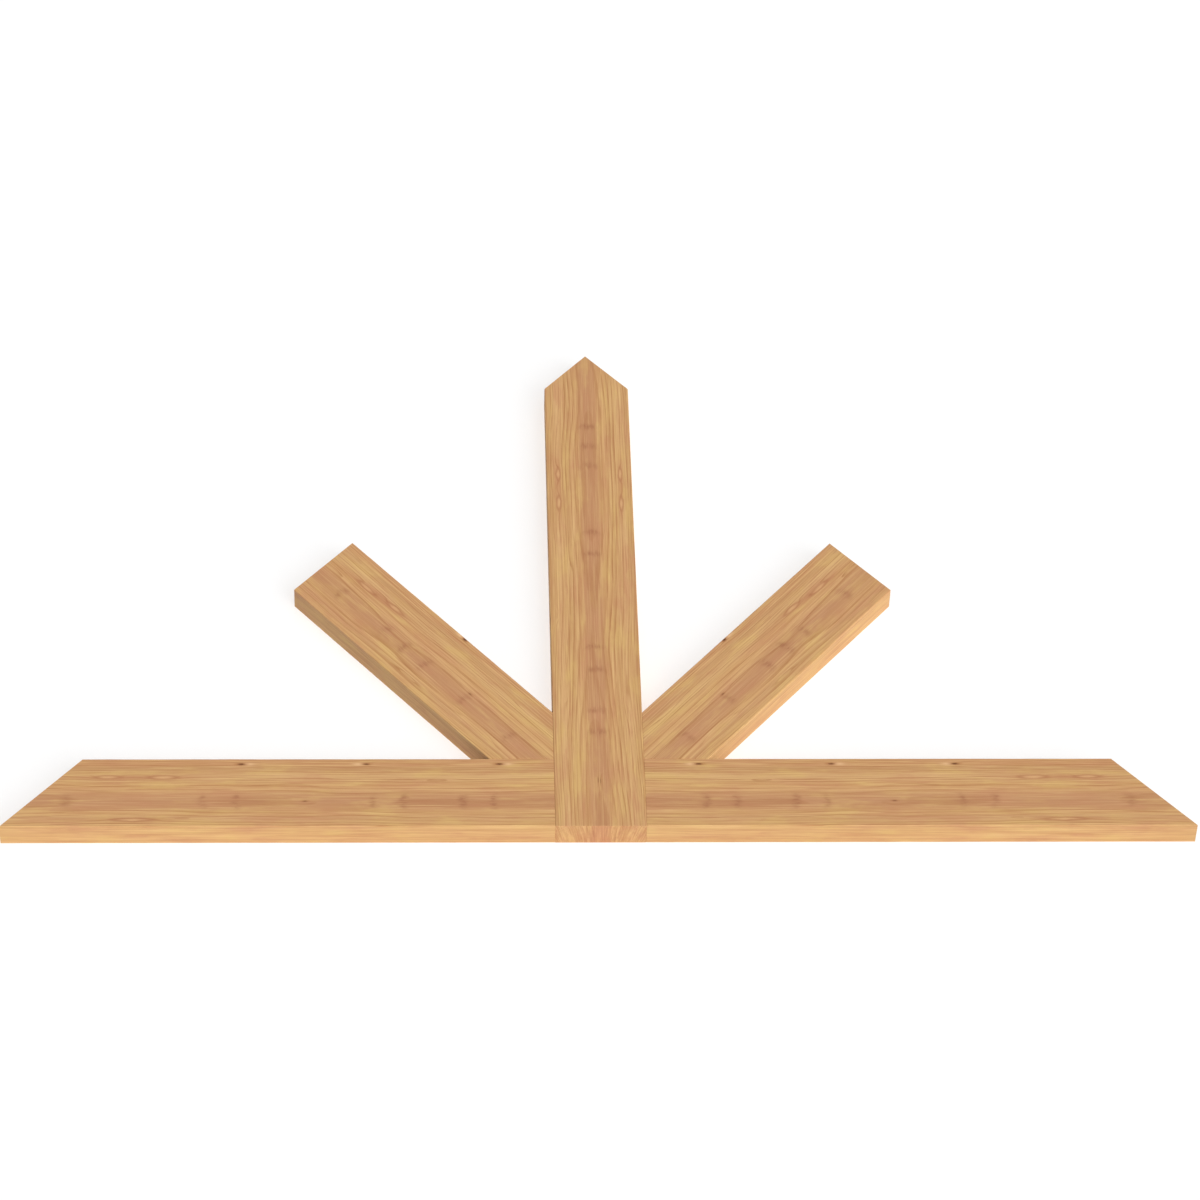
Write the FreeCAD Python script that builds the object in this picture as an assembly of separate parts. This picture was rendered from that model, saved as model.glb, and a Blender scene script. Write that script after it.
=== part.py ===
"""Timber gable bracket: a flat, triangular ornament of five planed softwood boards that sits in the peak of a gable.

A king post runs from the bottom edge to the peak. The bottom chord is made of two halves that butt against the
post's sides, with the post running through between them. Two struts rise from the corners between chord and post to
the middle of each roof line. Every outer end is sawn to the roof slope, so the post's two shoulders, the struts' ends
and the chord's ends lie on two common planes that bear against the rafters. All five boards are one thickness,
with flush front and back faces.

Frame, millimetres: the bracket lies on its back face. +X runs along the bottom chord, +Y from the chord to the peak, and
+Z out of the front face. The origin is at the middle of the outline's bounding box, on the back face.
"""

import FreeCAD, Part

import math
import os

IN = 25.4

# Driving dimensions
WIDTH = 72.0 * IN            # along the chord's bottom edge, tip to tip
PITCH = 14.0 / 12.0          # roof slope: rise over run
FACE = 5.5 * IN              # face width of every board (nominal 6 in, planed)
THICK = 1.5 * IN             # thickness of every board (nominal 2 in, planed)
ARRIS_R = 1.0                # eased long edges of the planed boards

# Derived
HEIGHT = PITCH * WIDTH / 2.0                 # bottom edge to peak
SEAT = FACE / math.sqrt(2.0)                 # a strut foot's seat, the same length on post and chord
Y0 = -HEIGHT / 2.0                           # the chord's bottom edge
SHOULDER_Y = HEIGHT - PITCH * FACE / 2.0     # the post's shoulders, above the bottom edge
CHORD_TOP_X = WIDTH / 2.0 - FACE / PITCH     # where a chord half's top edge meets the roof cut


def board(outline, grain):
    """A board of the full thickness with this outline, (x, y) from the bottom centre, and its long arrises eased.
    grain is the direction along the board, as (x, y)."""
    points = [FreeCAD.Vector(x, Y0 + y, 0.0) for x, y in outline]
    face = Part.Face(Part.makePolygon(points + [points[0]]))
    solid = face.extrude(FreeCAD.Vector(0, 0, THICK))
    along = FreeCAD.Vector(grain[0], grain[1], 0.0).normalize()
    long_edges = []
    for edge in solid.Edges:
        a, b = (v.Point for v in edge.Vertexes)
        run = b - a
        if abs(run.normalize().dot(along)) > 0.9999999:
            long_edges.append(edge)
    if len(long_edges) != 4:
        raise RuntimeError("a board has four long arrises, not %d" % len(long_edges))
    eased = solid.makeFillet(ARRIS_R, long_edges)
    eased = eased.removeSplitter()
    if eased.ShapeType == "Compound":
        eased = eased.Solids[0]
    return eased


def king_post():
    half = FACE / 2.0
    return board([(-half, 0), (half, 0), (half, SHOULDER_Y), (0, HEIGHT), (-half, SHOULDER_Y)], (0, 1))


def bottom_chord(side):
    """side is -1 for the left half and 1 for the right one."""
    half = FACE / 2.0
    outline = [(half, 0), (WIDTH / 2.0, 0), (CHORD_TOP_X, FACE), (half, FACE)]
    return board([(side * x, y) for x, y in outline], (1, 0))


def strut_lines():
    """The right strut's centre line: its foot point, its roof point and its direction."""
    half = FACE / 2.0
    foot = (half + SEAT / 2.0, FACE + SEAT / 2.0)                # middle of the seat's diagonal
    roof = ((half + CHORD_TOP_X) / 2.0, (SHOULDER_Y + FACE) / 2.0)  # middle of the roof line between post and chord
    dx, dy = roof[0] - foot[0], roof[1] - foot[1]
    length = math.hypot(dx, dy)
    return foot, roof, (dx / length, dy / length)


def strut(side):
    half = FACE / 2.0
    foot, roof, (c, s) = strut_lines()
    outline = []
    edges = []
    for off in (FACE / 2.0, -FACE / 2.0):        # upper edge, then lower edge
        px, py = foot[0] - s * off, foot[1] + c * off
        t_roof = (HEIGHT - PITCH * px - py) / (s + PITCH * c)
        top = (px + c * t_roof, py + s * t_roof)
        if off > 0:
            t_foot = (half - px) / c             # meets the post's side
        else:
            t_foot = (FACE - py) / s             # meets the chord's top edge
        edges.append(((px + c * t_foot, py + s * t_foot), top))
    outline = [(half, FACE), edges[1][0], edges[1][1], edges[0][1], edges[0][0]]
    return board([(side * x, y) for x, y in outline], (side * c, s))


def main():
    os.makedirs("parts", exist_ok=True)
    pieces = {
        "king_post": king_post(),
        "bottom_chord_left": bottom_chord(-1),
        "bottom_chord_right": bottom_chord(1),
        "strut_left": strut(-1),
        "strut_right": strut(1),
    }
    total = 0.0
    for name, shape in pieces.items():
        if not shape.isValid() or shape.Volume <= 0:
            raise RuntimeError(name + " isn't a valid solid")
        shape.exportStep("parts/%s.step" % name)
        box = shape.BoundBox
        total += shape.Volume
        print("%-18s %d faces, %.1f cm3, x %.2f..%.2f y %.2f..%.2f z %.2f..%.2f" % (
            name, len(shape.Faces), shape.Volume / 1000.0,
            box.XMin, box.XMax, box.YMin, box.YMax, box.ZMin, box.ZMax))
    names = list(pieces)
    for i, a in enumerate(names):
        for b in names[i + 1:]:
            shared = pieces[a].common(pieces[b]).Volume
            if shared > 1e-6:
                print("overlap", a, b, shared)
    foot, roof, (c, s) = strut_lines()
    print("height %.2f  shoulder %.2f  chord top x %.2f  seat %.2f  strut angle %.3f deg" % (
        HEIGHT, SHOULDER_Y, CHORD_TOP_X, SEAT, math.degrees(math.atan2(s, c))))
    print("strut foot", foot, "roof", roof)
    print("total %.1f cm3" % (total / 1000.0))


main()
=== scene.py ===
"""Looks of the timber gable bracket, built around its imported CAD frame: five planed softwood boards, lit as a plain studio
shot and seen from the photograph's angle."""

import math

import bpy
import numpy as np
from mathutils import Matrix, Vector


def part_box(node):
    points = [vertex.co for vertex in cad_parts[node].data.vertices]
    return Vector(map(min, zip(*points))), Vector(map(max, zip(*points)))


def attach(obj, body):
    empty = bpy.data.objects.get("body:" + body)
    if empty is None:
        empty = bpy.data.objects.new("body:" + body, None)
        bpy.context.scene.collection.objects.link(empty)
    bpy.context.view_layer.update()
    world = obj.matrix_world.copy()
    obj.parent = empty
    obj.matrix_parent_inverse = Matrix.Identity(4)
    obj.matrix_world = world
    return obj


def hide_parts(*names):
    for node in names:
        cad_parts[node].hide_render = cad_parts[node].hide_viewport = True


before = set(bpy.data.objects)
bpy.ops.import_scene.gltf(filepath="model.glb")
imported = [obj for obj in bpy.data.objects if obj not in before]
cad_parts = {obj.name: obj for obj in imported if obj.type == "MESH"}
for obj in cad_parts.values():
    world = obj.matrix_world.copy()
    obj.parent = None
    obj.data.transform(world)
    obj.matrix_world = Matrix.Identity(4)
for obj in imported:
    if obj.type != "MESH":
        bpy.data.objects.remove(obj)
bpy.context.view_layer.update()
scene = bpy.context.scene

# ---------------------------------------------------------------------------------------------------------------------
# Sizes, in millimetres, read from the frame's own nodes

MM = 0.001
post_lo, post_hi = (np.array(c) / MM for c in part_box("king_post"))
chord_lo, chord_hi = (np.array(c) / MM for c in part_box("bottom_chord_right"))
HALF = float(post_hi[0])                      # half a board's face width
FACE = 2.0 * HALF
THICK = float(post_hi[2] - post_lo[2])
BASE_Y = float(post_lo[1])                    # the chord's bottom edge
HEIGHT = float(post_hi[1] - post_lo[1])
SPAN = float(chord_hi[0])                     # half the width
PITCH = HEIGHT / SPAN
ARRIS = 1.0                                   # radius of the eased long edges
FUZZ = 0.35                                   # the tiny broken edge of a sawn end

# the struts' centre line, from the corner of post and chord to the middle of the roof line
SEAT = FACE / math.sqrt(2.0)
CHORD_TOP_X = SPAN - FACE / PITCH
FOOT = np.array([HALF + SEAT / 2.0, FACE + SEAT / 2.0])
ROOF = np.array([(HALF + CHORD_TOP_X) / 2.0, (HEIGHT - PITCH * HALF + FACE) / 2.0])
STRUT_DIR = (ROOF - FOOT) / np.linalg.norm(ROOF - FOOT)
C, S = float(STRUT_DIR[0]), float(STRUT_DIR[1])

LIGHT = 1.115                                 # what the lights give a face that looks up, against the palette's white
TINT = (1.0, 1.003, 0.962)                    # takes back what the gloss adds


def linear(rgb):
    out = []
    for c in rgb:
        c = c / 255.0
        out.append(c / 12.92 if c <= 0.04045 else ((c + 0.055) / 1.055) ** 2.4)
    return out


def albedo(rgb):
    """The surface colour that shows as this display colour under the scene's light."""
    return [min(1.0, tint * c / LIGHT) for c, tint in zip(linear(rgb), TINT)] + [1.0]


# ---------------------------------------------------------------------------------------------------------------------
# Smooth seeded noise for the meshes and the growth rings

def lattice(seed, *shape):
    return np.random.default_rng(seed).uniform(-1.0, 1.0, shape)


def noise1(seed, x):
    t = lattice(seed, 512)
    x = np.asarray(x, float) + 200.0
    i = np.floor(x).astype(int)
    f = x - i
    f = f * f * (3 - 2 * f)
    return t[i % 512] * (1 - f) + t[(i + 1) % 512] * f


def noise2(seed, x, y):
    t = lattice(seed, 256, 256)
    x, y = np.broadcast_arrays(np.asarray(x, float) + 100.0, np.asarray(y, float) + 100.0)
    i, j = np.floor(x).astype(int), np.floor(y).astype(int)
    f, g = x - i, y - j
    f, g = f * f * (3 - 2 * f), g * g * (3 - 2 * g)
    i, j, i1, j1 = i % 256, j % 256, (i + 1) % 256, (j + 1) % 256
    return (t[i, j] * (1 - f) + t[i1, j] * f) * (1 - g) + (t[i, j1] * (1 - f) + t[i1, j1] * f) * g


# ---------------------------------------------------------------------------------------------------------------------
# The boards. u runs along the grain, v across the face and w through the thickness, from the back face to the front one.

def chord_top(v):
    return SPAN - (v + HALF) / PITCH


def post_top(v):
    return HEIGHT - PITCH * np.abs(v)


def strut_foot(v):
    return np.maximum((HALF - FOOT[0] + v * S) / C, (FACE - FOOT[1] - v * C) / S)


def strut_top(v):
    return (HEIGHT - PITCH * FOOT[0] + PITCH * v * S - FOOT[1] - v * C) / (S + PITCH * C)


STRUT_CORNER = float(np.dot(np.array([HALF, FACE]) - FOOT, [-S, C]))

# Colours across the face, as seen on the board: (distance from the +v edge in mm, display colour)
CHORD_BANDS = [
    (-14, (208, 160, 108)), (3, (204, 154, 109)), (11, (198, 147, 102)), (20, (197, 152, 105)), (27, (203, 157, 108)),
    (35, (212, 168, 119)), (43, (206, 161, 112)), (53, (204, 156, 106)), (65, (208, 160, 113)), (74, (197, 149, 104)),
    (88, (193, 144, 104)), (99, (195, 146, 102)), (106, (202, 154, 107)), (114, (208, 161, 111)), (122, (202, 156, 110)),
    (130, (205, 159, 109)), (137, (210, 164, 111)), (153, (213, 166, 114)),
]
POST_BANDS = [
    (-12, (206, 158, 107)), (3, (196, 150, 102)), (9, (204, 160, 109)), (18, (213, 169, 119)), (26, (206, 161, 111)),
    (34, (202, 157, 107)), (43, (207, 161, 112)), (52, (200, 152, 104)), (59, (194, 145, 102)), (70, (193, 143, 103)),
    (81, (194, 145, 102)), (88, (201, 153, 105)), (97, (208, 161, 111)), (106, (202, 157, 107)), (114, (206, 161, 111)),
    (122, (213, 169, 119)), (131, (204, 160, 109)), (137, (196, 150, 102)), (152, (206, 158, 107)),
]

# A knot: u, distance from the +v edge, half length along the grain, half width, which way its pale tail points, and how dark it is.
# An eye is a small swirl in the rings with no knot: u, distance from the +v edge, half length, half width, strength.
# Figure is where darker marks cross the tangential band in the middle of the face.
BOARDS = {
    "bottom_chord": {
        "heart": HALF - 88.0, "bands": CHORD_BANDS, "seed": 11,
        "knots": [(154.0, 11.0, 6.2, 1.9, -1, 1.0), (359.0, 11.0, 5.6, 1.8, 1, 0.9), (551.0, 11.0, 6.4, 1.9, -1, 1.0), (452.0, 88.0, 4.4, 1.6, 0, 0.5)],
        "eyes": [(754.0, 38.0, 22.0, 4.2, 3.4), (670.0, 38.5, 24.0, 4.4, 3.6), (250.0, 43.0, 26.0, 3.4, -2.4), (225.0, 125.0, 30.0, 3.6, 2.2),
                 (712.0, 126.0, 34.0, 4.0, 2.8), (640.0, 124.0, 22.0, 3.0, -2.0), (470.0, 52.0, 60.0, 6.0, -1.6)],
        "figure": [(817.0, 5.0, 0.7), (609.0, 4.0, 0.9), (558.0, 3.2, 1.0), (349.0, 3.5, 0.8), (302.0, 4.0, 1.0), (211.0, 4.0, 1.0), (164.0, 3.4, 1.0)],
    },
    "king_post": {
        "heart": 0.0, "bands": POST_BANDS, "seed": 23,
        "knots": [(95.0, 67.6, 8.0, 0.62, 0, 0.55), (93.0, 71.4, 7.0, 0.62, 0, 0.6)],
        "eyes": [(778.0, 19.0, 17.0, 4.0, 3.6), (710.0, 19.0, 19.0, 4.0, 3.8), (778.0, 121.0, 17.0, 3.6, 3.0), (708.0, 121.0, 19.0, 3.6, 3.0),
                 (288.0, 24.0, 55.0, 5.0, 2.4), (288.0, 116.0, 55.0, 5.0, 2.4), (450.0, 12.0, 12.0, 3.4, 2.2), (595.0, 34.0, 40.0, 4.0, -1.6)],
        "figure": [(893.0, 4.0, 1.0), (846.0, 4.0, 0.8), (799.0, 4.6, 0.7), (641.0, 4.2, 0.8), (592.0, 3.8, 1.0), (383.0, 3.6, 1.0),
                   (332.0, 3.8, 0.9), (244.0, 3.8, 1.0), (198.0, 3.8, 0.9)],
    },
    "strut": {
        "heart": HALF - 87.0, "bands": CHORD_BANDS, "seed": 37,
        "knots": [(215.0, 2.4, 4.6, 2.4, 1, 1.0), (119.0, 73.0, 4.0, 1.5, 0, 0.5)],
        "eyes": [(340.0, 43.0, 22.0, 4.2, 3.2), (405.0, 48.0, 24.0, 4.4, 3.4), (470.0, 60.0, 30.0, 4.0, -2.0), (60.0, 112.0, 40.0, 5.0, 2.0),
                 (210.0, 122.0, 34.0, 4.0, 2.4), (30.0, 32.0, 40.0, 4.0, 1.8)],
        "figure": [(12.0, 4.0, 0.7), (118.0, 4.2, 0.8), (216.0, 4.6, 0.9), (266.0, 4.0, 1.0), (313.0, 4.4, 0.8), (423.0, 4.0, 0.8)],
    },
}


def lean_of(b, kd):
    """How far a knot moves across the board for each millimetre of depth: it runs out from the pith, 92 mm below the front face."""
    return (HALF - kd - b["heart"]) / 92.0


def grain(kind, u, v, w):
    """For points of a board: the ring number k, the band coordinate q (mm from the +v edge) and how far a knot bends the grain."""
    b = BOARDS[kind]
    sd = b["seed"]
    pith_v = b["heart"] + 5.0 * noise1(sd, u / 310.0) + 2.0 * noise1(sd + 1, u / 120.0)
    pith_w = THICK - 92.0 + 3.0 * noise1(sd + 2, u / 390.0) + 0.8 * noise1(sd + 3, u / 95.0)
    r = np.hypot(v - pith_v, w - pith_w)
    r = r + 0.50 * noise2(sd + 4, u / 130.0, v / 24.0) + 0.16 * noise2(sd + 5, u / 55.0, v / 9.0)
    for (eu, ed, a, c, h) in b["eyes"]:
        r = r + 1.35 * h * np.exp(-((u - eu) / a) ** 2 - ((v - (HALF - ed)) / c) ** 2)
    bend = np.zeros_like(r)
    for (ku, kd, a, c, _tail, _dark) in b["knots"]:
        kv = v - (HALF - kd) - (w - THICK) * lean_of(b, kd)
        rho = np.hypot((u - ku) / (3.2 * a), kv / (2.6 * c + 1.0))
        near = np.exp(-rho * rho)
        bend = np.maximum(bend, near)
        r = r + np.sign(kv + 1e-6) * np.minimum(a, 3.4) * 0.55 * near * np.clip(np.abs(kv) / 2.0, 0, 1)
    k = r / 2.35 + 0.30 * noise1(sd + 6, r / 7.0) + 0.12 * noise1(sd + 7, r / 3.1)
    q = (HALF - v) + 1.6 * noise2(sd + 8, u / 240.0, v / 34.0) + 0.7 * noise2(sd + 9, u / 70.0, v / 14.0) + 0.22 * (THICK - w)
    q = q + 2.2 * bend * np.sign(v)
    return k, q, bend


def section(columns, rows):
    """The rounded rectangle that a board is lofted from, as (v, w) with outward normals, and the grid lines of its faces."""
    a = HALF - ARRIS
    pts, nrm, part = [], [], []
    steps = 5

    def arc(cv, cw, start):
        for i in range(1, steps):
            t = math.radians(start - 90.0 * i / steps)
            pts.append((cv + ARRIS * math.cos(t), cw + ARRIS * math.sin(t)))
            nrm.append((math.cos(t), math.sin(t)))
            part.append("arris")

    for v in columns:
        pts.append((v, THICK)); nrm.append((0, 1)); part.append("front")
    arc(a, THICK - ARRIS, 90)
    for w in rows[::-1]:
        pts.append((HALF, w)); nrm.append((1, 0)); part.append("edge")
    arc(a, ARRIS, 0)
    for v in columns[::-1]:
        pts.append((v, 0.0)); nrm.append((0, -1)); part.append("back")
    arc(-a, ARRIS, -90)
    for w in rows:
        pts.append((-HALF, w)); nrm.append((-1, 0)); part.append("edge")
    arc(-a, THICK - ARRIS, -180)
    return np.array(pts), np.array(nrm), part


def spaced(lo, hi, step, fine):
    """Row stations from lo to hi, closer together near the places in fine."""
    x = [lo]
    while x[-1] < hi:
        gap = step
        for f, reach in fine:
            d = abs(x[-1] - f)
            if d < reach:
                gap = min(gap, 1.5 + (step - 1.5) * d / reach)
        x.append(x[-1] + gap)
    x = np.array(x)
    return lo + (x - lo) * (hi - lo) / (x[-1] - lo)


def make_board(name, kind, start, end, place, kink=None, mirror=False, node=None):
    """A board lofted along its grain between two sawn ends. start and end give u at each v, place turns (u, v) into (x, y)."""
    b = BOARDS[kind]
    a = HALF - ARRIS
    columns = np.linspace(-a, a, 113)
    if kink is not None:
        columns[np.argmin(np.abs(columns - kink))] = kink
    rows = np.linspace(ARRIS, THICK - ARRIS, 25)
    loop, normal, part = section(columns, rows)
    n_loop = len(loop)
    lv, lw = loop[:, 0], loop[:, 1]
    u_lo, u_hi = start(lv), end(lv)
    mid_lo, mid_hi = float(start(0.0) if kink is None else start(kink)), float(end(0.0))
    length = mid_hi - mid_lo
    stations = (spaced(mid_lo, mid_hi, 4.8, [(k[0], 18.0) for k in b["knots"]]) - mid_lo) / length
    tu = (u_lo + FUZZ)[None, :] + stations[:, None] * ((u_hi - u_lo) - 2 * FUZZ)[None, :]
    tv = np.broadcast_to(lv, tu.shape).copy()
    tw = np.broadcast_to(lw, tu.shape).copy()

    # relief: latewood stands a few hundredths of a millimetre proud, the planed faces wander a little, the arrises vary
    sd = b["seed"] + (100 if mirror else 0)
    k, q, bend = grain(kind, tu, tv, tw)
    f = k - np.floor(k)
    ridge = np.where(f < 0.86, (f / 0.86) ** 2, (1 - f) / 0.14)
    flat = np.array([p != "arris" for p in part], float)[None, :]
    inner = np.clip((a - np.abs(tv)) / 3.0, 0, 1) * np.clip((np.abs(normal[:, 1]))[None, :], 0, 1)
    inner = inner + np.clip((THICK / 2 - np.abs(tw - THICK / 2)) / 3.0, 0, 1) * np.abs(normal[:, 0])[None, :]
    h = flat * np.clip(inner, 0, 1) * (0.030 * (ridge - 0.35) + 0.035 * noise2(sd + 40, tu / 150.0, (tv + 2 * tw) / 30.0))
    h = h - (1 - flat) * (0.10 + 0.10 * noise2(sd + 41, tu / 26.0, np.arange(n_loop)[None, :] // 40 * 7.3 + 0.5) + 0.04 * noise2(sd + 42, tu / 5.0, np.arange(n_loop)[None, :] // 40 * 3.1))
    for (ku, kd, ka, kc, _tail, _dark) in b["knots"]:
        rho = np.hypot((tu - ku) / ka, (tv - (HALF - kd) - (tw - THICK) * lean_of(b, kd)) / kc)
        h = h + flat * (np.abs(normal[:, 1])[None, :] > 0.5) * (0.05 * np.exp(-rho ** 2) - 0.10 * np.exp(-((rho - 1.15) / 0.3) ** 2))
    pv = tv + h * normal[:, 0][None, :]
    pw = tw + h * normal[:, 1][None, :]

    verts_u = [tu.ravel()]
    verts_v = [pv.ravel()]
    verts_w = [pw.ravel()]
    n_rows = len(stations)
    count = n_rows * n_loop
    faces, material = [], []
    idx = np.arange(count).reshape(n_rows, n_loop)
    nxt = np.roll(idx, -1, axis=1)
    quads = np.stack([idx[:-1], idx[1:], nxt[1:], nxt[:-1]], -1).reshape(-1, 4)
    faces.extend(quads.tolist())
    material.extend([0] * len(quads))

    # the sawn ends
    nc, nr = len(columns), len(rows)
    arcs = 4
    i_front = np.arange(nc)
    i_edge_p = nc + arcs + np.arange(nr)[::-1]                  # indexed by row, low w first
    i_back = (nc + arcs + nr + arcs + np.arange(nc))[::-1]      # indexed by column
    i_edge_n = nc + arcs + nr + arcs + nc + arcs + np.arange(nr)
    for at_end in (True, False):
        ring0 = count
        rv = lv - FUZZ * normal[:, 0]
        rw = lw - FUZZ * normal[:, 1]
        cut = end if at_end else start
        ru = cut(np.clip(rv, -HALF, HALF))
        verts_u.append(ru); verts_v.append(rv); verts_w.append(rw)
        count += n_loop
        gv, gw = np.meshgrid(columns, rows, indexing="ij")
        saw = 0.035 * np.sin((gv * 0.35 + gw * 1.0) * 2.1 + 1.5 * noise2(sd + 50, gv / 30.0, gw / 12.0)) + 0.03 * noise2(sd + 51, gv / 3.0, gw / 3.0)
        away = np.clip((a - np.abs(gv)) / 2.0, 0, 1) * np.clip((THICK / 2 - ARRIS - np.abs(gw - THICK / 2)) / 2.0, 0, 1)
        gu = cut(gv) - (1 if at_end else -1) * (0.04 + saw) * away
        grid0 = count
        verts_u.append(gu.ravel()); verts_v.append(gv.ravel()); verts_w.append(gw.ravel())
        count += gv.size
        g = grid0 + np.arange(gv.size).reshape(gv.shape)
        ring = ring0 + np.arange(n_loop)
        side = idx[-1] if at_end else idx[0]
        out = []
        fuzz = np.stack([side, ring, np.roll(ring, -1), np.roll(side, -1)], -1)
        out.extend(fuzz.tolist())
        out.extend(np.stack([g[:-1, :-1], g[1:, :-1], g[1:, 1:], g[:-1, 1:]], -1).reshape(-1, 4).tolist())
        fr, ba, ep, en = ring[i_front], ring[i_back], ring[i_edge_p], ring[i_edge_n]
        out.extend(np.stack([g[:-1, -1], g[1:, -1], fr[1:], fr[:-1]], -1).tolist())
        out.extend(np.stack([ba[:-1], ba[1:], g[1:, 0], g[:-1, 0]], -1).tolist())
        out.extend(np.stack([g[-1, :-1], ep[:-1], ep[1:], g[-1, 1:]], -1).tolist())
        out.extend(np.stack([en[:-1], g[0, :-1], g[0, 1:], en[1:]], -1).tolist())
        for centre, first in ((g[-1, -1], nc - 1), (g[-1, 0], nc + arcs + nr - 1), (g[0, 0], nc + arcs + nr + arcs + nc - 1), (g[0, -1], n_loop - arcs - 1)):
            for s in range(arcs + 1):
                out.append([int(centre), int(ring[(first + s + 1) % n_loop]), int(ring[(first + s) % n_loop])])
        if not at_end:
            out = [f[::-1] for f in out]
        faces.extend(out)
        material.extend([0] * len(fuzz) + [1] * (len(out) - len(fuzz)))

    U, V, W = (np.concatenate(x) for x in (verts_u, verts_v, verts_w))
    x, y = place(U, V)
    if mirror:
        x = -x
        faces = [f[::-1] for f in faces]
    xyz = np.stack([x, y + BASE_Y, W], -1) * MM

    mesh = bpy.data.meshes.new(name)
    mesh.from_pydata(xyz.tolist(), [], faces)
    mesh.polygons.foreach_set("material_index", np.array(material, np.int32))
    mesh.update()
    k, q, bend = grain(kind, U, V, W)
    at = mesh.attributes.new("board", "FLOAT_VECTOR", "POINT")
    at.data.foreach_set("vector", np.stack([U, V, W], -1).astype(np.float32).ravel())
    at = mesh.attributes.new("rings", "FLOAT_VECTOR", "POINT")
    at.data.foreach_set("vector", np.stack([k, q, bend], -1).astype(np.float32).ravel())
    mesh.shade_smooth()
    mesh.set_sharp_from_angle(angle=math.radians(32))
    obj = bpy.data.objects.new(name, mesh)
    scene.collection.objects.link(obj)
    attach(obj, "root")
    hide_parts(node)
    return obj


# ---------------------------------------------------------------------------------------------------------------------
# Materials

class Nodes:
    """A short way to write node trees."""

    def __init__(self, name):
        self.mat = bpy.data.materials.new(name)
        self.mat.use_nodes = True
        self.tree = self.mat.node_tree
        self.tree.nodes.clear()

    def new(self, kind, **props):
        n = self.tree.nodes.new(kind)
        for key, value in props.items():
            setattr(n, key, value)
        return n

    def put(self, socket, value):
        if isinstance(value, bpy.types.NodeSocket):
            self.tree.links.new(value, socket)
        else:
            socket.default_value = value

    def math(self, op, a, b=None, c=None, clamp=False):
        n = self.new("ShaderNodeMath", operation=op, use_clamp=clamp)
        for i, value in enumerate((a, b, c)):
            if value is not None:
                self.put(n.inputs[i], value)
        return n.outputs[0]

    def vec(self, x, y, z):
        n = self.new("ShaderNodeCombineXYZ")
        for i, value in enumerate((x, y, z)):
            self.put(n.inputs[i], value)
        return n.outputs[0]

    def attribute(self, name):
        n = self.new("ShaderNodeAttribute", attribute_name=name, attribute_type="GEOMETRY")
        s = self.new("ShaderNodeSeparateXYZ")
        self.put(s.inputs[0], n.outputs["Vector"])
        return s.outputs[0], s.outputs[1], s.outputs[2]

    def noise(self, vector, detail=2.0, rough=0.5, distortion=0.0):
        n = self.new("ShaderNodeTexNoise", noise_dimensions="3D")
        self.put(n.inputs["Vector"], vector)
        n.inputs["Scale"].default_value = 1.0
        n.inputs["Detail"].default_value = detail
        n.inputs["Roughness"].default_value = rough
        n.inputs["Distortion"].default_value = distortion
        return n.outputs["Fac"]

    def ramp(self, fac, stops, mode="LINEAR"):
        n = self.new("ShaderNodeValToRGB")
        r = n.color_ramp
        r.interpolation = mode
        while len(r.elements) > 1:
            r.elements.remove(r.elements[-1])
        for i, (pos, colour) in enumerate(stops):
            if not hasattr(colour, "__len__"):
                colour = (colour, colour, colour, 1.0)
            e = r.elements[0] if i == 0 else r.elements.new(pos)
            e.position = pos
            e.color = colour
        self.put(n.inputs[0], fac)
        return n.outputs["Color"]

    def mix(self, fac, a, b, blend="MIX"):
        n = self.new("ShaderNodeMix", data_type="RGBA", blend_type=blend, clamp_factor=True)
        self.put(n.inputs["Factor"], fac)
        self.put(n.inputs[6], a)
        self.put(n.inputs[7], b)
        return n.outputs[2]

    def step(self, x, lo, hi):
        """0 below lo, 1 above hi, smooth between."""
        n = self.new("ShaderNodeMapRange", interpolation_type="SMOOTHSTEP", clamp=True)
        self.put(n.inputs["Value"], x)
        self.put(n.inputs["From Min"], lo)
        self.put(n.inputs["From Max"], hi)
        return n.outputs["Result"]

    def span(self, x, a, b, c, d):
        n = self.new("ShaderNodeMapRange", clamp=True)
        self.put(n.inputs["Value"], x)
        for key, value in (("From Min", a), ("From Max", b), ("To Min", c), ("To Max", d)):
            self.put(n.inputs[key], value)
        return n.outputs["Result"]


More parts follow.
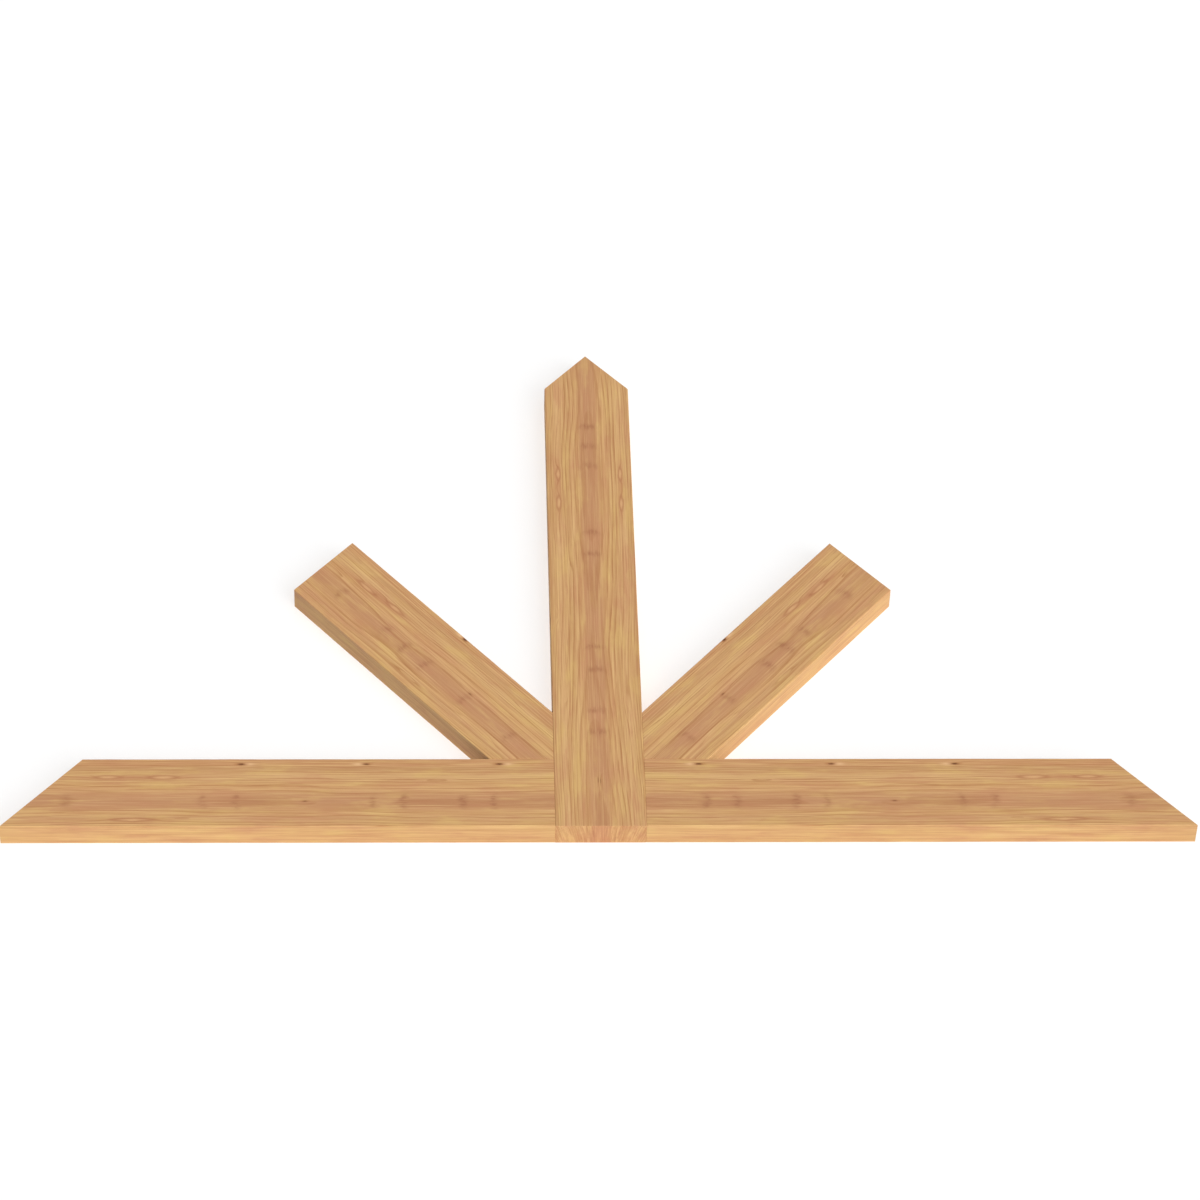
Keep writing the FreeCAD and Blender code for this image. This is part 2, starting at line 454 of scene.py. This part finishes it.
def timber(name, kind, seed, end_grain=False):
    """Clear planed softwood. The ring number and bands come with the mesh, and everything finer is made here."""
    b = BOARDS[kind]
    t = Nodes(name)
    u, v, w = t.attribute("board")
    k, q, bend = t.attribute("rings")
    su = t.math("ADD", u, 31.7 * seed)

    # broad bands across the face
    lo, hi = b["bands"][0][0], b["bands"][-1][0]
    wander = t.noise(t.vec(t.math("DIVIDE", su, 120.0), t.math("DIVIDE", v, 5.5), t.math("DIVIDE", w, 9.0)), 3.0, 0.55)
    qq = t.math("ADD", q, t.math("MULTIPLY", t.math("SUBTRACT", wander, 0.5), 6.0))
    colour = t.ramp(t.span(qq, lo, hi, 0.0, 1.0), [((d - lo) / (hi - lo), albedo(c)) for d, c in b["bands"]], "EASE")

    # slow drift between honey and rose along the board
    drift = t.noise(t.vec(t.math("DIVIDE", su, 80.0), t.math("DIVIDE", v, 22.0), t.math("DIVIDE", w, 22.0)), 3.0, 0.55)
    colour = t.mix(t.math("MULTIPLY", t.step(drift, 0.50, 0.70), 0.58), colour, albedo((196, 138, 103)))
    colour = t.mix(t.math("MULTIPLY", t.step(drift, 0.50, 0.30), 0.64), colour, albedo((217, 180, 115)))

    # growth rings: pale earlywood that darkens slowly to a thin line of latewood, each ring with its own strength
    jitter = t.noise(t.vec(t.math("DIVIDE", su, 60.0), t.math("DIVIDE", v, 1.7), t.math("DIVIDE", w, 1.7)), 2.0, 0.5)
    kk = t.math("ADD", k, t.math("MULTIPLY", t.math("SUBTRACT", jitter, 0.5), 0.16))
    f = t.math("FRACT", kk)
    late = t.ramp(f, [(0.0, 0.0), (0.05, 0.0), (0.38, 0.08), (0.62, 0.34), (0.82, 1.0), (0.94, 1.0), (1.0, 0.0)], "LINEAR")
    white = t.new("ShaderNodeTexWhiteNoise", noise_dimensions="1D")
    t.put(white.inputs["W"], t.math("ADD", t.math("FLOOR", kk), 7.3 * b["seed"]))
    own = t.span(white.outputs["Value"], 0.0, 1.0, 0.26, 1.0)
    fade = t.span(t.noise(t.vec(t.math("DIVIDE", su, 100.0), t.math("DIVIDE", v, 7.0), t.math("DIVIDE", w, 7.0)), 2.0, 0.6), 0.32, 0.62, 0.40, 1.0)
    ring = t.math("MULTIPLY", t.math("MULTIPLY", late, own), fade)
    colour = t.mix(t.math("MULTIPLY", ring, 0.86 if end_grain else 0.78), colour, albedo((164, 108, 64)))

    # fibres: long fine streaks, and sparse darker dashes. An end shows them as rays, set steeper than square to the rings to read as upright streaks
    if end_grain:
        lean = t.math("DIVIDE", t.math("SUBTRACT", v, b["heart"]), 170.0)
        fibre = t.noise(t.vec(t.math("DIVIDE", v, 0.32), t.math("DIVIDE", w, 0.32), t.math("DIVIDE", su, 3.0)), 2.0, 0.6)
        streak = t.noise(t.vec(t.math("DIVIDE", t.math("SUBTRACT", v, t.math("MULTIPLY", t.math("SUBTRACT", w, THICK), lean)), 1.1), t.math("DIVIDE", w, 26.0), su), 3.0, 0.6)
    else:
        fibre = t.noise(t.vec(t.math("DIVIDE", su, 26.0), t.math("DIVIDE", v, 0.42), t.math("DIVIDE", w, 0.42)), 3.0, 0.62)
        streak = t.noise(t.vec(t.math("DIVIDE", su, 105.0), t.math("DIVIDE", v, 1.4), t.math("DIVIDE", w, 1.4)), 3.0, 0.58)
    colour = t.mix(t.math("MULTIPLY", t.step(fibre, 0.48, 0.80), 0.30), colour, albedo((178, 124, 78)))
    colour = t.mix(t.math("MULTIPLY", t.step(fibre, 0.50, 0.22), 0.30), colour, albedo((226, 184, 134)))
    colour = t.mix(t.math("MULTIPLY", t.step(streak, 0.51, 0.74), 0.46), colour, albedo((178, 122, 78)))
    colour = t.mix(t.math("MULTIPLY", t.step(streak, 0.50, 0.26), 0.50), colour, albedo((232, 193, 138)))
    if end_grain:
        ray = t.noise(t.vec(t.math("DIVIDE", t.math("SUBTRACT", v, t.math("MULTIPLY", t.math("SUBTRACT", w, THICK), lean)), 2.6), t.math("DIVIDE", w, 34.0), su), 2.0, 0.6)
        colour = t.mix(t.math("MULTIPLY", t.step(ray, 0.50, 0.70), 0.52), colour, albedo((188, 126, 86)))
        colour = t.mix(t.math("MULTIPLY", t.step(ray, 0.50, 0.30), 0.52), colour, albedo((228, 186, 130)))
        check = t.noise(t.vec(t.math("DIVIDE", t.math("SUBTRACT", v, t.math("MULTIPLY", t.math("SUBTRACT", w, THICK), lean)), 1.5), t.math("DIVIDE", w, 48.0), t.math("ADD", su, 9.0)), 1.0, 0.5)
        colour = t.mix(t.math("MULTIPLY", t.step(check, 0.64, 0.74), 0.60), colour, albedo((160, 100, 62)))
    else:
        flow = t.noise(t.vec(t.math("DIVIDE", su, 170.0), t.math("DIVIDE", v, 3.4), t.math("DIVIDE", w, 3.4)), 2.0, 0.5)
        colour = t.mix(t.math("MULTIPLY", t.step(flow, 0.52, 0.72), 0.28), colour, albedo((186, 132, 90)))
        colour = t.mix(t.math("MULTIPLY", t.step(flow, 0.48, 0.28), 0.36), colour, albedo((228, 188, 132)))
        dash = t.noise(t.vec(t.math("DIVIDE", su, 44.0), t.math("DIVIDE", v, 0.9), t.math("DIVIDE", w, 0.9)), 1.0, 0.5)
        colour = t.mix(t.math("MULTIPLY", t.step(dash, 0.70, 0.80), 0.45), colour, albedo((150, 96, 56)))

    # the rosy tangential band, and the figure that crosses it
    off = t.math("SUBTRACT", v, b["heart"])
    edge = t.math("ADD", t.math("ABSOLUTE", off), t.math("MULTIPLY", t.math("SUBTRACT", wander, 0.5), 10.0))
    colour = t.mix(t.math("MULTIPLY", t.step(edge, 23.0, 10.0), 0.30), colour, albedo((188, 133, 99)))
    if end_grain:
        colour = t.mix(t.math("MULTIPLY", t.step(edge, 21.0, 6.0), 0.24), colour, albedo((203, 134, 102)))
    bowed = t.math("MULTIPLY", t.math("MULTIPLY", off, off), 0.012)
    uneven = t.noise(t.vec(t.math("DIVIDE", su, 16.0), t.math("DIVIDE", v, 6.0), t.math("DIVIDE", w, 12.0)), 3.0, 0.6)
    fu = t.math("ADD", u, t.math("ADD", bowed, t.math("MULTIPLY", t.math("SUBTRACT", uneven, 0.5), 14.0)))
    marks = None
    for (mu, mw, ms) in b["figure"]:
        d = t.math("DIVIDE", t.math("SUBTRACT", fu, mu), 1.45 * mw)
        g = t.math("MULTIPLY", t.math("POWER", 2.0, t.math("MULTIPLY", t.math("MULTIPLY", d, d), -1.2)), ms)
        marks = g if marks is None else t.math("MAXIMUM", marks, g)
    band = t.step(t.math("ABSOLUTE", off), 21.0, 6.0)
    patch = t.span(t.noise(t.vec(t.math("DIVIDE", su, 22.0), t.math("DIVIDE", v, 5.0), t.math("DIVIDE", w, 6.0)), 3.0, 0.6), 0.36, 0.60, 0.12, 1.0)
    figure = t.math("MULTIPLY", t.math("MULTIPLY", marks, band), patch)
    if not end_grain:
        colour = t.mix(t.math("MULTIPLY", figure, 0.62), colour, albedo((156, 99, 70)))

    # swirls where the rings close on themselves: a pale middle, a reddish rim and long reddish tails
    if not end_grain:
        for (eu, ed, ea, ec, eh) in b["eyes"]:
            if eh < 2.8:
                continue
            along = t.math("DIVIDE", t.math("SUBTRACT", u, eu), 0.75 * ea)
            across = t.math("DIVIDE", t.math("ADD", t.math("SUBTRACT", v, HALF - ed), t.math("MULTIPLY", t.math("SUBTRACT", uneven, 0.5), 3.0)), 0.72 * ec)
            al, ac = t.math("MULTIPLY", along, along), t.math("MULTIPLY", across, across)
            shell = t.math("SUBTRACT", t.math("SQRT", t.math("ADD", al, ac)), 1.15)
            near = t.math("POWER", 2.0, t.math("MULTIPLY", t.math("ADD", al, ac), -1.6))
            rim = t.math("POWER", 2.0, t.math("MULTIPLY", t.math("MULTIPLY", shell, shell), -9.0))
            tails = t.math("POWER", 2.0, t.math("MULTIPLY", t.math("ADD", t.math("MULTIPLY", al, 0.10), t.math("MULTIPLY", ac, 0.55)), -1.0))
            front = t.step(w, 0.55 * THICK, 0.95 * THICK)
            colour = t.mix(t.math("MULTIPLY", t.math("MULTIPLY", tails, 0.44), front), colour, albedo((180, 118, 84)))
            colour = t.mix(t.math("MULTIPLY", t.math("MULTIPLY", near, 0.50), front), colour, albedo((230, 184, 134)))
            colour = t.mix(t.math("MULTIPLY", t.math("MULTIPLY", rim, 0.42), front), colour, albedo((160, 98, 64)))

    # knots: a dark heart with a rim, its split, and the pale swirl on one side
    rough_knot = t.noise(t.vec(t.math("DIVIDE", su, 1.6), t.math("DIVIDE", v, 1.1), t.math("DIVIDE", w, 3.0)), 3.0, 0.6)
    hollow = None
    for (ku, kd, ka, kc, tail, dark) in b["knots"]:
        du = t.math("SUBTRACT", u, ku)
        dv = t.math("SUBTRACT", v, t.math("ADD", HALF - kd, t.math("MULTIPLY", t.math("SUBTRACT", w, THICK), lean_of(b, kd))))
        eu, ev = t.math("DIVIDE", du, ka), t.math("DIVIDE", dv, kc)
        rho = t.math("SQRT", t.math("ADD", t.math("MULTIPLY", eu, eu), t.math("MULTIPLY", ev, ev)))
        rho = t.math("ADD", rho, t.math("MULTIPLY", t.math("SUBTRACT", rough_knot, 0.5), 0.9))
        if tail:
            ws = t.math("DIVIDE", t.math("SUBTRACT", du, 11.0 * tail), 9.0)
            wt = t.math("DIVIDE", dv, 2.6)
            swirl = t.math("POWER", 2.0, t.math("MULTIPLY", t.math("ADD", t.math("MULTIPLY", ws, ws), t.math("MULTIPLY", wt, wt)), -1.3))
            colour = t.mix(t.math("MULTIPLY", swirl, 0.78), colour, albedo((234, 190, 146)))
        halo = t.step(rho, 2.5, 0.9)
        colour = t.mix(t.math("MULTIPLY", halo, 0.46 * dark), colour, albedo((160, 98, 56)))
        core = t.step(rho, 1.25, 0.55)
        colour = t.mix(t.math("MULTIPLY", core, 0.80 * dark), colour, albedo((118, 70, 38)))
        heart = t.step(rho, 0.62, 0.25)
        colour = t.mix(t.math("MULTIPLY", heart, 0.75 * dark), colour, albedo((86, 48, 26)))
        hollow = core if hollow is None else t.math("MAXIMUM", hollow, core)

    if end_grain:
        colour = t.mix(1.0, colour, (0.985, 0.955, 0.93, 1.0), "MULTIPLY")

    # gloss and relief
    rough = t.math("ADD", t.span(fibre, 0.3, 0.7, 0.52, 0.66), t.math("MULTIPLY", ring, -0.07))
    rough = t.math("ADD", rough, t.math("MULTIPLY", hollow, -0.10), clamp=True)
    height = t.math("ADD", t.math("MULTIPLY", fibre, 0.45), t.math("MULTIPLY", ring, 0.35))
    height = t.math("ADD", height, t.math("MULTIPLY", streak, 0.25))
    if end_grain:
        saw = t.new("ShaderNodeTexWave", wave_type="BANDS", bands_direction="X", wave_profile="SIN")
        t.put(saw.inputs["Vector"], t.vec(t.math("ADD", t.math("MULTIPLY", w, 0.95), t.math("MULTIPLY", v, 0.30)), v, 0.0))
        saw.inputs["Scale"].default_value = 0.16
        saw.inputs["Distortion"].default_value = 1.2
        saw.inputs["Detail"].default_value = 2.0
        height = t.math("ADD", height, t.math("MULTIPLY", saw.outputs["Fac"], 0.35))
    height = t.math("SUBTRACT", height, t.math("MULTIPLY", hollow, 0.35))
    bump = t.new("ShaderNodeBump")
    bump.inputs["Strength"].default_value = 0.35 if not end_grain else 0.5
    bump.inputs["Distance"].default_value = 0.00022
    t.put(bump.inputs["Height"], height)
    shader = t.new("ShaderNodeBsdfPrincipled")
    t.put(shader.inputs["Base Color"], colour)
    t.put(shader.inputs["Roughness"], rough)
    t.put(shader.inputs["Normal"], bump.outputs["Normal"])
    shader.inputs["Specular IOR Level"].default_value = 0.28
    out = t.new("ShaderNodeOutputMaterial")
    t.tree.links.new(shader.outputs[0], out.inputs["Surface"])
    return t.mat


# ---------------------------------------------------------------------------------------------------------------------
# The five boards

def chord_place(u, v):
    return u, v + HALF


def post_place(u, v):
    return -v, u


def strut_place(u, v):
    return FOOT[0] + u * C - v * S, FOOT[1] + u * S + v * C


def from_post(v):
    return HALF + 0.0 * np.asarray(v, float)


def from_floor(v):
    return 0.0 * np.asarray(v, float)


boards = [
    ("board_king_post", "king_post", "king_post", from_floor, post_top, post_place, 0.0, False),
    ("board_chord_right", "bottom_chord", "bottom_chord_right", from_post, chord_top, chord_place, None, False),
    ("board_chord_left", "bottom_chord", "bottom_chord_left", from_post, chord_top, chord_place, None, True),
    ("board_strut_right", "strut", "strut_right", strut_foot, strut_top, strut_place, STRUT_CORNER, False),
    ("board_strut_left", "strut", "strut_left", strut_foot, strut_top, strut_place, STRUT_CORNER, True),
]
for number, (name, kind, node, start, end, place, kink, mirror) in enumerate(boards):
    obj = make_board(name, kind, start, end, place, kink, mirror, node)
    obj.data.materials.append(timber(name + "_face", kind, number + 1))
    obj.data.materials.append(timber(name + "_end", kind, number + 1, end_grain=True))

# ---------------------------------------------------------------------------------------------------------------------
# Floor, light and camera

floor_mesh = bpy.data.meshes.new("floor")
reach, low = 40.0, -0.0004
floor_mesh.from_pydata([(-reach, -reach, low), (reach, -reach, low), (reach, reach, low), (-reach, reach, low)], [], [(0, 1, 2, 3)])
floor = bpy.data.objects.new("floor", floor_mesh)
scene.collection.objects.link(floor)
paper = bpy.data.materials.new("floor_paper")
paper.use_nodes = True
bsdf = paper.node_tree.nodes["Principled BSDF"]
bsdf.inputs["Base Color"].default_value = (0.90, 0.90, 0.90, 1.0)
bsdf.inputs["Roughness"].default_value = 0.9
bsdf.inputs["Specular IOR Level"].default_value = 0.1
floor_mesh.materials.append(paper)

world = bpy.data.worlds.new("studio")
world.use_nodes = True
world.node_tree.nodes["Background"].inputs["Color"].default_value = (1.0, 1.0, 1.0, 1.0)
world.node_tree.nodes["Background"].inputs["Strength"].default_value = 0.22
scene.world = world


def lamp(name, toward, strength, spread, shadow=True):
    """A broad soft light from that direction."""
    light = bpy.data.lights.new(name, "SUN")
    light.energy = strength
    light.angle = math.radians(spread)
    light.use_shadow = shadow
    obj = bpy.data.objects.new(name, light)
    toward = Vector(toward).normalized()
    obj.rotation_euler = toward.to_track_quat("Z", "Y").to_euler()
    obj.location = toward * 6.0
    scene.collection.objects.link(obj)


lamp("key", (0.53, -0.68, 0.50), 0.90, 50)
lamp("key_fill", (0.53, -0.68, 0.50), 2.06, 36, shadow=False)
lamp("overhead_fill", (0.0, 0.0, 1.0), 1.43, 60, shadow=False)

# The camera looks down on the bracket at 45 degrees, from beyond the chord and a little left of the middle
YAW, RISE, ROLL = math.radians(2.9672), math.radians(44.8598), math.radians(-2.0649)
ahead = Vector((math.sin(YAW) * math.cos(RISE), math.sin(RISE), -math.cos(YAW) * math.cos(RISE)))
level = ahead.cross(Vector((0.0, 1.0, 0.0))).normalized()
upright = level.cross(ahead)
right = level * math.cos(ROLL) + upright * math.sin(ROLL)
up = upright * math.cos(ROLL) - level * math.sin(ROLL)
cam = bpy.data.cameras.new("camera")
cam.sensor_width = 36.0
cam.lens = 137.08
cam.clip_start, cam.clip_end = 0.05, 200.0
cam_obj = bpy.data.objects.new("camera", cam)
m = Matrix((right, up, -ahead)).transposed().to_4x4()
m.translation = Vector((-0.25751, -5.20012, 5.20911))
cam_obj.matrix_world = m
scene.collection.objects.link(cam_obj)
scene.camera = cam_obj

scene.view_settings.view_transform = "Standard"
scene.view_settings.look = "None"
scene.view_settings.exposure = 0.0
scene.view_settings.gamma = 1.0

bpy.context.view_layer.update()
